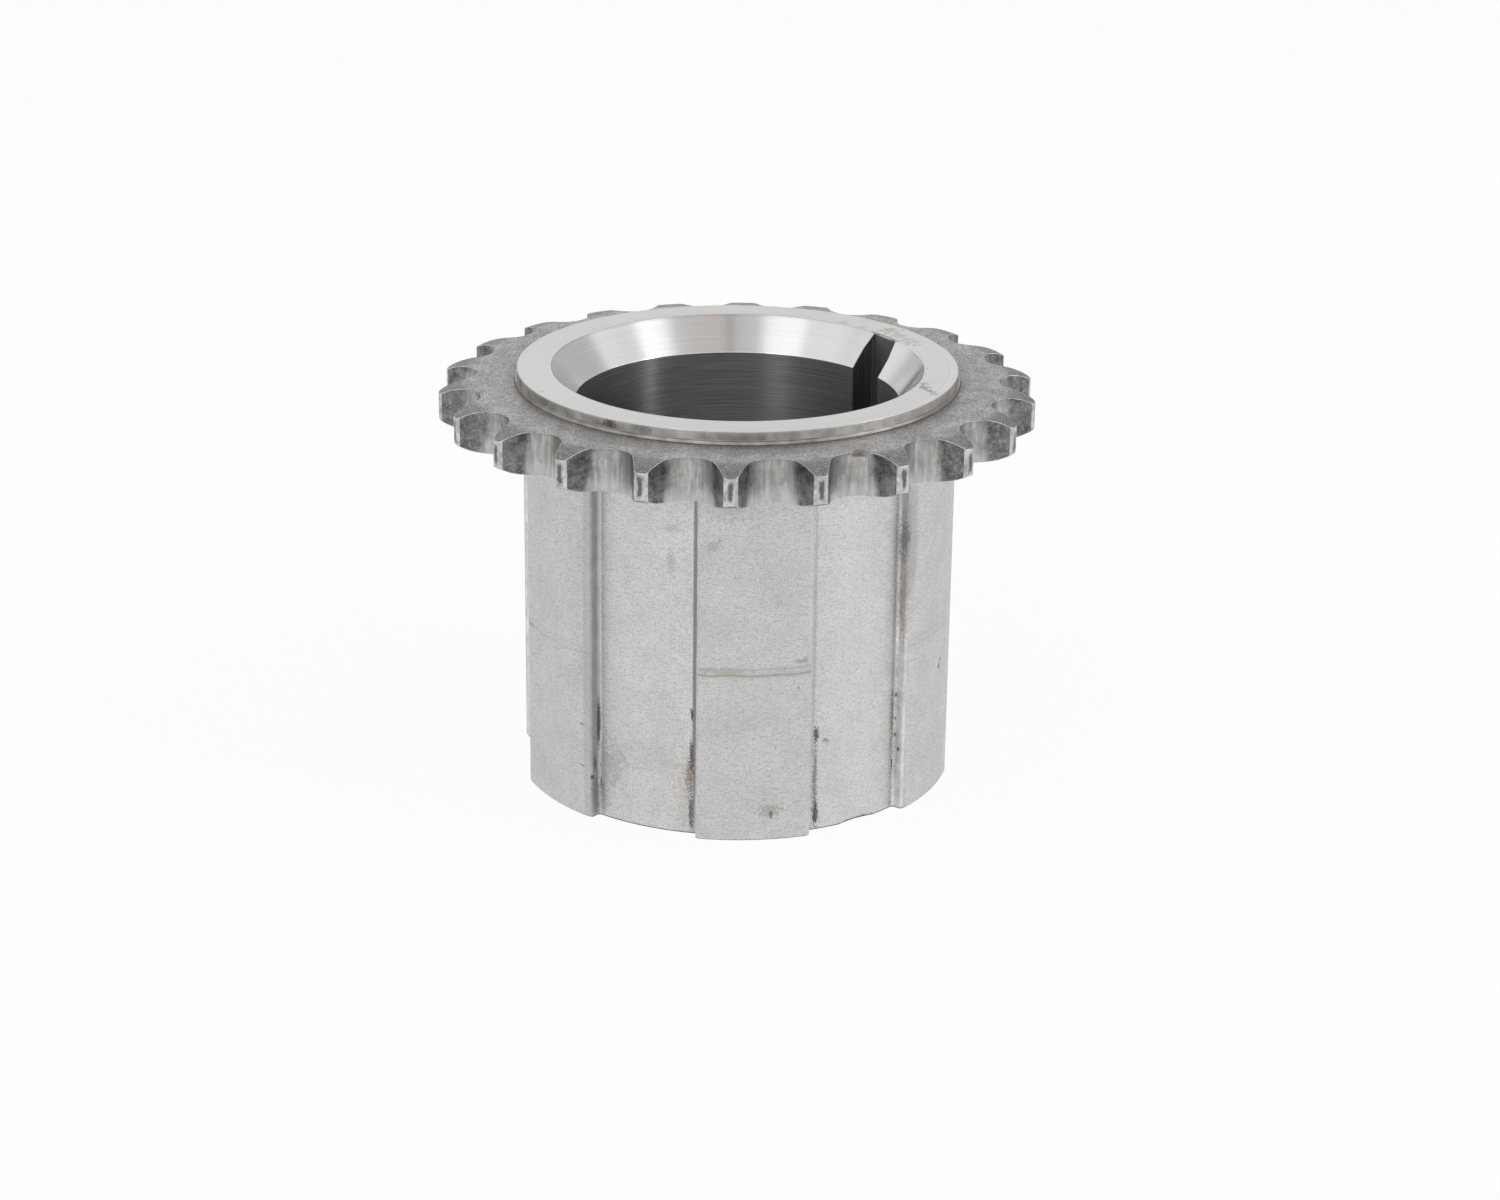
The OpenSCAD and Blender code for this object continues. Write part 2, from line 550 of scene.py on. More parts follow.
class Finish(NodeBoard):
    """One finish of the gear: a metal whose colour, gloss and relief vary over the surface."""

    COARSE_SCALE = 1.5
    FINE_SCALE = 4.6
    QUARTER_TURN = 0.25

    def __init__(
        self,
        name: str,
        effects: Effects,
        roughness: float,
        metallic: float = 1.0,
        anisotropic: float = 0.0,
    ) -> None:
        """Start the material.

        Args:
            name: The finish's name.
            effects: The shared effect groups.
            roughness: The finish's plain roughness.
            metallic: How much it is bare metal.
            anisotropic: How far a highlight is drawn out by the turning marks.
        """
        self.effects = effects
        self.material = bpy.data.materials.new(name)
        self.material.use_nodes = True
        super().__init__(self.material.node_tree)
        given = {"Metallic": metallic, "Roughness": roughness}
        if anisotropic:
            tangent = self.add("ShaderNodeTangent", direction_type="RADIAL", axis="Z").outputs[0]
            given |= {"Anisotropic": anisotropic, "Anisotropic Rotation": self.QUARTER_TURN}
            given["Tangent"] = tangent
        self.shader = self.add("ShaderNodeBsdfPrincipled", given)
        self.add("ShaderNodeOutputMaterial", {"Surface": self.shader.outputs[0]})
        point = self.add("ShaderNodeTexCoord").outputs["Object"]
        self.place = self.effect(effects.place, Point=point)
        self.colour = None

    def grain(self, size: float, clouds: float, pores: float) -> Outputs:
        """Place the sintered grain.

        Args:
            size: Size of the grains in millimetres.
            clouds: Size of the broad tones in millimetres.
            pores: How open the skin is, from 0 to 1.

        Returns:
            Its outputs.
        """
        given = {"Grain_Size": size, "Cloud_Size": clouds, "Pores": pores}
        return self.effect(self.effects.grain, Position=self.place["Position"], **given)

    def turning(self, pitch: float, broken: float) -> Outputs:
        """Place the turning marks.

        Args:
            pitch: Distance between rings in millimetres.
            broken: How soon a ring fades along its way round.

        Returns:
            Their outputs.
        """
        where = {name: self.place[name] for name in ("Radius", "Height", "Around")}
        return self.effect(self.effects.turning, Pitch=pitch, Broken=broken, **where)

    def streaks(self, width: float, length: float) -> Outputs:
        """Place the axial streaks, whose width and length are in millimetres."""
        position = self.place["Position"]
        return self.effect(self.effects.draw, Position=position, Width=width, Length=length)

    def vary(self, mask: Socket, low: Colour, high: Colour) -> None:
        """Start the colour as a play between two."""
        self.colour = self.mix(mask, low, high)

    def wash(self, mask: Socket, share: object, colour: Colour) -> None:
        """Lay a colour over what is there, through a share of a mask."""
        self.colour = self.mix(self.times(mask, share), self.colour, colour)

    def mark(self, *marks: Mark) -> None:
        """Lay stains, pits and painted shade over the colour, lowest first."""
        position = self.place["Position"]
        noises = {}
        for fine in {mark.fine for mark in marks}:
            scale = self.FINE_SCALE if fine else self.COARSE_SCALE
            noises[fine] = self.noise(position, scale, 4.0, 0.72)
        for mark in marks:
            spot = self.effect(
                self.effects.spot,
                Position=position,
                Centre=tuple(polar(mark.radius, mark.angle, mark.height)),
                Reach=(mark.wide, mark.wide, mark.tall),
                Ragged=mark.ragged,
                Noise=noises[mark.fine],
            )
            self.wash(spot["Mask"], mark.strength, mark.colour)

    def paint_end_shade(self) -> None:
        """Paint a dark line of shade just above the barrel end, where it stands on the floor."""
        line = self.remap(self.place["Height"], 0.2, 0.08)
        self.colour = self.mix(line, self.colour, grey(0.09, 0.03))

    def dress(
        self, roughness: Socket | None = None, relief: Socket | None = None, depth: float = 0.0
    ) -> Material:
        """Wire the finish's colour, gloss and relief.

        Args:
            roughness: Varying roughness, if any.
            relief: Height of the surface relief, if any.
            depth: Depth of the relief in millimetres.

        Returns:
            The finished material.
        """
        self.plug(self.colour, self.shader.inputs["Base Color"])
        self.plug(roughness, self.shader.inputs["Roughness"])
        if relief is not None:
            given = {"Strength": 1.0, "Distance": depth * MM, "Height": relief}
            bump = self.add("ShaderNodeBump", given)
            self.plug(bump.outputs["Normal"], self.shader.inputs["Normal"])
        return self.material


class Surface(Enum):
    """The gear's surfaces, in material slot order; Finishes has a method for each."""

    LAND = 0
    FLUTE = 1
    LAND_SIDE = 2
    END = 3
    BORE = 4
    CONE = 5
    RIM_FACE = 6
    RIM_WALL = 7
    LEDGE = 8
    DISC = 9
    GAP = 10
    TIP = 11
    EDGE = 12
    KEYWAY = 13
    CREVICE = 14


@dataclass
class Finishes:
    """Makes the material of every surface, in slot order. Places are in millimetres."""

    effects: Effects = field(default_factory=Effects)
    rubbed_land: float = -120.0
    land_at: float = 25.65
    floor_at: float = 24.05
    rim_at: float = 25.5
    top_at: float = 48.7

    def build(self) -> list[Material]:
        """Make one material for each member of Surface."""
        return [getattr(self, surface.name.lower())() for surface in Surface]

    def _sintered(self, name: str, level: float, marks: tuple[Mark, ...], band: bool) -> Material:
        """The light speckled skin of the barrel.

        Args:
            name: The finish's name.
            level: Linear brightness.
            marks: Stains and pits on it.
            band: Whether the rubbed band of the mating part crosses it.

        Returns:
            The finished material.
        """
        finish = Finish(name, self.effects, 0.5)
        grain = finish.grain(0.15, 4.0, 0.55)
        hatch = finish.streaks(0.8, 0.13)
        finish.vary(grain["Clouds"], grey(level * 0.94), grey(level * 1.05))
        finish.wash(finish.remap(grain["Speckle"], 0.5, 0.08), 0.72, grey(level * 0.6))
        finish.wash(finish.remap(hatch["Streaks"], 0.45, 0.0), 0.5, grey(level * 0.66))
        finish.wash(grain["Pores"], 0.6, grey(level * 0.32, 0.05))
        if band:
            self._rubbed_band(finish, level, grain["Clouds"])
        finish.mark(*marks)
        # Painted shade along the barrel end.
        finish.paint_end_shade()
        rough = finish.remap(grain["Speckle"], 0.0, 1.0, 0.56, 0.44)
        return finish.dress(rough, grain["Height"], 0.012)

    def _rubbed_band(self, finish: Finish, level: float, clouds: Socket) -> None:
        """Draw the band that the mating part rubbed across the lands, strongest on one.

        Args:
            finish: The finish that it lies on.
            level: Linear brightness of that finish.
            clouds: The tones along which the band wanders.
        """
        wander = finish.math("ADD", finish.place["Height"], finish.times(clouds, 0.2))
        middle = tuple(polar(1.0, self.rubbed_land))
        facing = finish.vector("DOT_PRODUCT", finish.place["Around"], middle)
        worn = finish.remap(facing, 0.8, 0.93, 0.3, 1.0)
        rub = finish.between(wander, 19.6, 20.2, 21.1, 21.5)
        low_line = finish.between(wander, 20.1, 20.22, 20.34, 20.46)
        top_line = finish.between(wander, 20.9, 21.0, 21.1, 21.25)
        finish.wash(rub, finish.times(worn, 0.35), grey(level * 0.72, 0.05))
        finish.wash(low_line, finish.times(worn, 0.55), grey(level * 0.42, 0.08))
        finish.wash(top_line, finish.times(worn, 0.3), grey(level * 0.5, 0.08))

    def land(self) -> Material:
        """The outer faces of the drive lands."""
        r = self.land_at
        marks = (
            # The first two marks are painted shade where the lands' corners roll off.
            Mark(-73.9, 25.5, 33.0, 0.9, 8.0, grey(0.3, 0.03), 0.45, 0.9, True),
            Mark(-166.2, 25.5, 22.0, 0.6, 36.0, grey(0.36, 0.02), 0.4, 0.5, True),
            Mark(-116.2, r, 3.6, 1.3, 1.0, DUST, 0.5, 1.0),
            Mark(-115.6, r, 3.2, 0.25, 0.5, GRIME, 0.6, 0.6, True),
            Mark(-57.3, r, 15.4, 0.3, 0.5, GRIME, 0.8, 0.6, True),
            Mark(-56.6, r, 16.1, 0.25, 0.35, GRIME, 0.7, 0.6, True),
            Mark(-108.9, r, 18.4, 0.12, 0.5, GRIME, 0.3, 0.3, True),
            Mark(-108.0, r, 21.7, 1.0, 0.35, GRIME, 0.35, 0.8),
            Mark(-128.0, r, 20.6, 3.0, 0.4, TAN, 0.3, 0.8),
            Mark(-131.0, r, 35.5, 1.2, 0.6, DUST, 0.35, 1.0),
            Mark(-127.0, r, 39.5, 2.4, 1.2, DUST, 0.25, 1.1),
            Mark(-194.0, r, 20.2, 2.2, 0.35, DUST, 0.45, 0.6),
            Mark(-167.8, r, 11.4, 0.5, 0.1, GRIME, 0.6, 0.3, True),
            Mark(-167.7, r, 6.3, 0.6, 0.1, GRIME, 0.6, 0.3, True),
        )
        return self._sintered("drive_land_face", 0.62, marks, True)

    def flute(self) -> Material:
        """The floors of the grooves between the lands."""
        r = self.floor_at
        marks = (
            Mark(-138.4, r, 4.5, 1.2, 5.0, TAN, 0.2, 1.4),
            Mark(-150.0, r, 8.6, 5.0, 2.4, TAN, 0.12, 1.4),
            Mark(-136.5, r, 14.6, 0.22, 0.9, GRIME, 0.9, 0.6, True),
            Mark(-136.6, r, 9.6, 0.3, 2.4, GRIME, 0.85, 1.0, True),
            Mark(-137.2, r, 7.2, 0.5, 2.2, RUST, 0.5, 1.1, True),
            Mark(-136.7, r, 2.8, 0.3, 3.0, GRIME, 0.75, 1.0, True),
            # Painted shadow: the dark line beside the front land's left edge.
            Mark(-135.9, r, 24.0, 0.28, 30.0, grey(0.14, 0.02), 0.75, 0.08, True),
            Mark(-102.6, r, 6.0, 0.3, 6.4, RUST, 0.6, 1.15, True),
            Mark(-102.4, r, 11.8, 0.4, 1.0, GRIME, 0.85, 0.8, True),
            Mark(-102.3, r, 2.0, 0.45, 1.5, GRIME, 0.85, 0.9, True),
            Mark(-103.4, r, 22.0, 0.26, 26.0, DUST, 0.4, 0.7, True),
            Mark(-99.7, r, 10.9, 0.5, 0.3, GRIME, 0.5, 0.8, True),
            Mark(-164.9, r, 11.6, 0.26, 3.8, GRIME, 0.85, 0.4, True),
            Mark(-164.6, r, 6.3, 0.18, 0.3, GRIME, 0.8, 0.4, True),
            Mark(-164.4, r, 4.2, 0.2, 0.9, GRIME, 0.8, 0.5, True),
            Mark(-164.6, 24.3, 2.8, 0.9, 2.2, grey(0.2, 0.02), 0.5, 1.2, True),
            Mark(-162.5, r, 6.5, 2.6, 3.0, DUST, 0.3, 1.4),
            Mark(-155.0, r, 31.0, 1.0, 1.6, DUST, 0.12, 1.3),
            Mark(-142.6, r, 32.7, 0.5, 1.6, grey(0.2, 0.04), 0.3, 1.3, True),
            Mark(-141.8, r, 36.6, 1.2, 0.5, TAN, 0.3, 1.2, True),
            Mark(-76.0, r, 20.0, 0.4, 24.0, DUST, 0.45, 1.2, True),
            Mark(-75.6, r, 5.5, 0.2, 0.8, GRIME, 0.85, 0.5, True),
            Mark(-76.0, r, 11.6, 0.4, 3.0, RUST, 0.45, 1.2, True),
        )
        return self._sintered("groove_floor", 0.66, marks, False)

    def land_side(self) -> Material:
        """The low steps at the sides of the lands, where dirt holds and painted shade darkens the
        corners.
        """
        finish = Finish("land_side", self.effects, 0.5)
        grain = finish.grain(0.26, 1.6, 0.8)
        streak = finish.streaks(0.5, 3.0)
        finish.vary(grain["Clouds"], grey(0.62, 0.015), grey(0.82, 0.005))
        finish.wash(finish.remap(streak["Streaks"], 0.5, 0.1), 0.28, grey(0.32, 0.04))
        finish.wash(grain["Pores"], 0.75, grey(0.12, 0.06))
        finish.mark(
            # The first two marks are painted shade where the lands' corners roll off.
            Mark(-165.0, 24.9, 22.0, 1.6, 36.0, grey(0.3, 0.02), 0.65, 0.2, True),
            Mark(-75.0, 24.9, 33.0, 1.6, 12.0, grey(0.3, 0.03), 0.5, 0.5, True),
            Mark(-165.1, 24.2, 11.6, 0.3, 3.8, GRIME, 0.9, 0.3, True),
            Mark(-165.2, 25.2, 5.0, 0.3, 0.35, GRIME, 0.8, 0.4, True),
            Mark(-165.1, 24.8, 6.6, 0.25, 1.0, GRIME, 0.6, 0.6, True),
            Mark(-165.0, 24.5, 2.8, 0.9, 2.2, grey(0.2, 0.02), 0.5, 1.2, True),
            # Painted shadow: the dark line beside the front land's left edge.
            Mark(-135.4, 24.2, 24.0, 0.34, 30.0, grey(0.14, 0.02), 0.6, 0.08, True),
            Mark(-75.0, 24.2, 14.1, 0.18, 0.35, GRIME, 0.85, 0.3, True),
            Mark(-75.0, 24.2, 11.1, 0.2, 0.3, GRIME, 0.85, 0.3, True),
            Mark(-75.0, 24.2, 9.1, 0.2, 0.3, GRIME, 0.85, 0.3, True),
            Mark(-75.0, 24.7, 7.4, 0.2, 0.3, GRIME, 0.85, 0.3, True),
            Mark(-75.0, 24.15, 12.0, 0.25, 12.0, RUST, 0.3, 0.8, True),
            Mark(-75.2, 24.9, 33.0, 0.9, 2.4, GRIME, 0.5, 1.2, True),
            Mark(-75.2, 24.9, 26.0, 0.8, 5.0, TAN, 0.35, 1.3, True),
        )
        # Painted shade along the barrel end.
        finish.paint_end_shade()
        return finish.dress(None, grain["Height"], 0.015)

    def end(self) -> Material:
        """The ground free end of the barrel."""
        finish = Finish("barrel_end", self.effects, 0.42)
        rings = finish.turning(0.16, 1.5)["Rings"]
        finish.vary(rings, grey(0.42, 0.01), grey(0.56, 0.005))
        finish.wash(finish.remap(finish.place["Radius"], 23.3, 23.9), 0.85, grey(0.12, 0.04))
        return finish.dress(None, rings, 0.004)

    def bore(self) -> Material:
        """The finely turned bore, dark, with long fine rings."""
        finish = Finish("turned_bore", self.effects, 0.4, anisotropic=0.97)
        turning = finish.turning(0.06, 5.0)
        finish.vary(turning["Rings"], grey(0.15), grey(0.3))
        finish.wash(turning["Bands"], 0.3, grey(0.2, 0.01))
        rough = finish.remap(turning["Rings"], 0.0, 1.0, 0.44, 0.36)
        return finish.dress(rough, turning["Rings"], 0.0012)

    def cone(self) -> Material:
        """The bright lead-in cone, turned to a near polish."""
        finish = Finish("polished_lead_in", self.effects, 0.21, anisotropic=0.5)
        finish.vary(finish.turning(0.05, 1.5)["Rings"], grey(0.74, 0.004), grey(0.8, 0.003))
        finish.wash(finish.remap(finish.place["Height"], 48.35, 48.55), 0.3, grey(0.55, 0.01))
        return finish.dress()

    def rim_face(self) -> Material:
        """The faced top of the rim, with a few tea-brown stains."""
        finish = Finish("faced_rim", self.effects, 0.34, anisotropic=0.3)
        turning = finish.turning(0.07, 1.2)
        grain = finish.grain(0.3, 5.0, 0.1)
        finish.vary(turning["Rings"], grey(0.66, 0.003), grey(0.73, 0.003))
        finish.wash(grain["Clouds"], 0.3, grey(0.62, 0.008))
        z = self.top_at
        finish.mark(
            Mark(4.4, 23.5, z, 1.3, 1.0, PALE_TEA, 0.7, 1.2),
            Mark(-1.5, 23.0, z, 1.0, 1.0, PALE_TEA, 0.6, 1.3),
            Mark(-8.5, 22.7, z, 1.5, 1.0, PALE_TEA, 0.5, 1.3),
            Mark(-12.3, 22.6, z, 0.35, 1.0, DEEP_TEA, 0.5, 0.9, True),
            Mark(19.8, 22.4, z, 0.9, 1.0, PALE_TEA, 0.4, 1.3),
            Mark(12.6, 22.2, z, 0.5, 1.0, PALE_TEA, 0.5, 1.2, True),
            Mark(-53.0, 22.3, z, 0.6, 1.0, PALE_TEA, 0.85, 1.2),
            Mark(-56.5, 22.7, z, 0.7, 1.0, DEEP_TEA, 0.75, 1.1),
            Mark(-59.0, 23.7, z, 0.6, 1.0, DEEP_TEA, 0.75, 1.1),
            Mark(-61.0, 24.6, z, 0.5, 1.0, PALE_TEA, 0.8, 1.0, True),
            Mark(-37.0, 21.95, z, 0.13, 0.3, GRIME, 0.9, 0.2),
            Mark(172.2, 24.7, z, 0.13, 0.3, GRIME, 0.8, 0.2),
            Mark(-31.0, 22.4, z, 0.1, 0.3, GRIME, 0.7, 0.2),
            Mark(-141.0, 24.6, z, 0.09, 0.3, GRIME, 0.6, 0.2),
        )
        return finish.dress()

    def rim_wall(self) -> Material:
        """The low wall round the rim, browned by old oil."""
        finish = Finish("oil_browned_wall", self.effects, 0.44)
        grain = finish.grain(0.4, 2.6, 0.7)
        streak = finish.streaks(0.7, 0.9)
        finish.vary(grain["Clouds"], grey(0.22, 0.07), grey(0.58, 0.035))
        finish.wash(streak["Broad"], 0.35, grey(0.46, 0.06))
        finish.wash(grain["Pores"], 0.6, grey(0.16, 0.1))
        finish.wash(finish.remap(finish.place["Height"], 48.3, 48.65), 0.5, grey(0.56, 0.02))
        r = self.rim_at
        finish.mark(
            Mark(-158.7, r, 48.0, 0.9, 0.7, GRIME, 0.7, 1.2, True),
            Mark(-150.0, r, 48.2, 1.6, 0.5, GRIME, 0.25, 1.3, True),
            Mark(-102.0, r, 48.2, 1.0, 0.6, GRIME, 0.2, 1.3, True),
            Mark(-80.6, r, 48.2, 1.0, 0.6, GRIME, 0.2, 1.3, True),
            Mark(-68.0, r, 48.0, 8.0, 1.4, grey(0.56, 0.07), 0.5, 1.3),
        )
        return finish.dress(None, grain["Height"], 0.01)

    def ledge(self) -> Material:
        """The small ledge at the rim's foot, darker brown: painted shade under the wall above it,
        with dirt.
        """
        finish = Finish("dirty_shaded_ledge", self.effects, 0.36)
        grain = finish.grain(0.5, 2.0, 0.5)
        # Darker brown: painted shade under the wall, with dirt.
        finish.vary(grain["Clouds"], grey(0.28, 0.06), grey(0.46, 0.04))
        finish.wash(grain["Pores"], 0.6, grey(0.2, 0.1))
        return finish.dress()

    def crevice(self) -> Material:
        """The dark line in the corner at the ledge's foot: painted shade, with old grease."""
        finish = Finish("grease_and_shade_corner", self.effects, 0.6, 0.6)
        finish.vary(finish.grain(0.5, 2.0, 0.4)["Clouds"], grey(0.09, 0.14), grey(0.19, 0.1))
        return finish.dress()

    def disc(self) -> Material:
        """The dull sandy sides of the toothed disc, with painted shade in a cool grey where the
        teeth fall back and painted shade near the hub.
        """
        finish = Finish("dull_disc_side", self.effects, 0.5)
        grain = finish.grain(0.19, 2.6, 0.45)
        rings = finish.turning(0.22, 7.0)["Rings"]
        radius = finish.place["Radius"]
        finish.vary(grain["Clouds"], grey(0.35, -0.005), grey(0.51))
        finish.wash(rings, 0.25, grey(0.51))
        pale = finish.between(radius, 28.6, 29.6, 30.6, 31.4)
        finish.wash(pale, finish.remap(grain["Clouds"], 0.2, 0.8, 0.1, 0.5), grey(0.6))
        # Painted shade on the side relief, where the teeth fall back.
        finish.wash(finish.remap(radius, 31.0, 32.2), 0.75, RELIEF_SHADE)
        # Painted shade near the hub, where the disc meets the rim and the barrel.
        finish.wash(finish.remap(radius, 27.2, 25.8), 0.5, grey(0.26, 0.04))
        finish.wash(finish.remap(grain["Speckle"], 0.5, 0.05), 0.75, grey(0.17))
        # Light specks: partly light grains, partly painted glints.
        finish.wash(finish.remap(grain["Speckle"], 0.62, 0.95), 0.55, grey(0.76))
        finish.mark(
            Mark(-99.2, 30.6, 47.2, 0.9, 0.8, RUST, 0.6, 1.2, True),
            Mark(-80.8, 32.3, 46.9, 0.6, 0.8, RUST, 0.6, 1.1, True),
            Mark(-113.5, 33.3, 46.7, 0.25, 0.5, grey(0.5), 0.6, 0.5, True),
        )
        rough = finish.remap(grain["Speckle"], 0.0, 1.0, 0.58, 0.42)
        return finish.dress(rough, grain["Height"], 0.018)

    def gap(self) -> Material:
        """The walls between two teeth: seats rubbed light, flanks left dark and pitted."""
        finish = Finish("tooth_gap", self.effects, 0.42)
        streak = finish.streaks(0.4, 3.2)
        grain = finish.grain(0.34, 1.3, 0.75)
        radius, height = finish.place["Radius"], finish.place["Height"]
        finish.vary(streak["Streaks"], grey(0.27, 0.035), grey(0.49, 0.02))
        finish.wash(streak["Broad"], 0.45, grey(0.46, 0.035))
        finish.wash(finish.remap(grain["Clouds"], 0.6, 0.1), 0.5, grey(0.25, 0.05))
        finish.wash(finish.remap(height, 44.6, 42.4), 0.4, grey(0.66, 0.02))
        seat = finish.colour
        finish.vary(grain["Clouds"], grey(0.09, -0.01), grey(0.24))
        finish.wash(finish.remap(grain["Speckle"], 0.6, 0.85), 0.4, grey(0.42))
        finish.wash(grain["Pores"], 0.6, grey(0.03))
        lean = finish.times(finish.math("SUBTRACT", 47.2, height), 0.11)
        straight = finish.math("SUBTRACT", radius, lean)
        reach = finish.math("SUBTRACT", straight, finish.times(grain["Clouds"], 0.25))
        finish.colour = finish.mix(finish.remap(reach, 30.65, 31.95), seat, finish.colour)
        # Painted shade along the rounded top edge of each seat.
        top = finish.times(finish.remap(height, 46.7, 47.15), finish.remap(radius, 31.2, 30.7))
        finish.wash(top, 0.5, grey(0.2, 0.05))
        finish.mark(
            Mark(-79.8, 30.5, 43.4, 0.3, 0.5, GRIME, 0.8, 0.5, True),
            Mark(-80.6, 30.6, 46.8, 0.4, 0.3, RUST, 0.8, 0.5, True),
            Mark(-99.6, 30.4, 46.9, 1.0, 0.3, RUST, 0.7, 0.9, True),
        )
        rough = finish.remap(streak["Streaks"], 0.0, 1.0, 0.48, 0.38)
        return finish.dress(rough, grain["Height"], 0.012)

    def tip(self) -> Material:
        """The tooth tips: a narrow dark middle in a worn, lighter frame."""
        finish = Finish("tooth_tip", self.effects, 0.4)
        clouds = finish.grain(0.4, 1.1, 0.5)["Clouds"]
        ragged = finish.times(clouds, 0.2)
        place = finish.apart(finish.place["Position"])
        turn = finish.math("ARCTAN2", place["Y"], place["X"])
        turn = finish.math("SUBTRACT", turn, math.radians(FIRST_TOOTH))
        teeth_on = finish.math("ADD", finish.math("DIVIDE", turn, 2 * math.pi / TEETH), 0.5)
        from_middle = finish.math("SUBTRACT", finish.math("FRACT", teeth_on), 0.5)
        across = finish.times(finish.math("ABSOLUTE", from_middle), 9.86)
        up = finish.math("ABSOLUTE", finish.math("SUBTRACT", finish.place["Height"], 44.7))
        middle = finish.remap(finish.math("ADD", across, ragged), 0.5, 0.24)
        dark = finish.times(middle, finish.remap(finish.math("ADD", up, ragged), 1.5, 0.9))
        finish.vary(clouds, grey(0.36, 0.01), grey(0.62, 0.01))
        finish.wash(dark, 0.9, grey(0.11, 0.01))
        return finish.dress()

    def edge(self) -> Material:
        """Tooth edges worn bright."""
        finish = Finish("worn_edge", self.effects, 0.36)
        finish.vary(finish.grain(0.4, 0.9, 0.4)["Clouds"], grey(0.36, 0.01), grey(0.66, 0.01))
        return finish.dress()

    def keyway(self) -> Material:
        """The broached keyway, dull and dark, its floor a little lighter."""
        finish = Finish("broached_keyway", self.effects, 0.5)
        streaks = finish.streaks(0.15, 12.0)["Streaks"]
        finish.vary(streaks, grey(0.12), grey(0.25))
        floor = finish.remap(finish.apart(finish.place["Position"])["X"], 21.36, 21.43)
        finish.wash(floor, 0.4, grey(0.36))
        return finish.dress(None, streaks, 0.004)


# --------------------------------------------------------------------------
# The gear
# --------------------------------------------------------------------------


@dataclass
class GearSizes:
    """Sizes of the gear in metres. The length comes from the frame."""

    length: float
    tip_radius: float = TIP_RADIUS
    rim_height: float = 1.5 * MM
    disc_width: float = 5.0 * MM
    rim_radius: float = 25.5 * MM
    ledge_width: float = 0.25 * MM
    ledge_height: float = 0.4 * MM
    land_radius: float = 25.65 * MM
    groove_depth: float = 1.6 * MM
    bore_radius: float = 18.75 * MM
    lead_radius: float = 21.6 * MM
    lead_depth: float = 4.0 * MM
    bore_chamfer: float = 0.5 * MM
    key_half: float = 2.4 * MM
    key_floor: float = 21.446 * MM
    steps: int = 264

    @property
    def face_z(self) -> float:
        """Height of the disc's upper side."""
        return self.length - self.rim_height

    @property
    def disc_z(self) -> float:
        """Height of the disc's lower side."""
        return self.face_z - self.disc_width

    @property
    def groove_radius(self) -> float:
        """Radius of the groove floors."""
        return self.land_radius - self.groove_depth

    @property
    def ledge_radius(self) -> float:
        """Radius of the small ledge."""
        return self.rim_radius + self.ledge_width

    @property
    def ledge_top(self) -> float:
        """Height of the small ledge's upper side."""
        return self.face_z + self.ledge_height


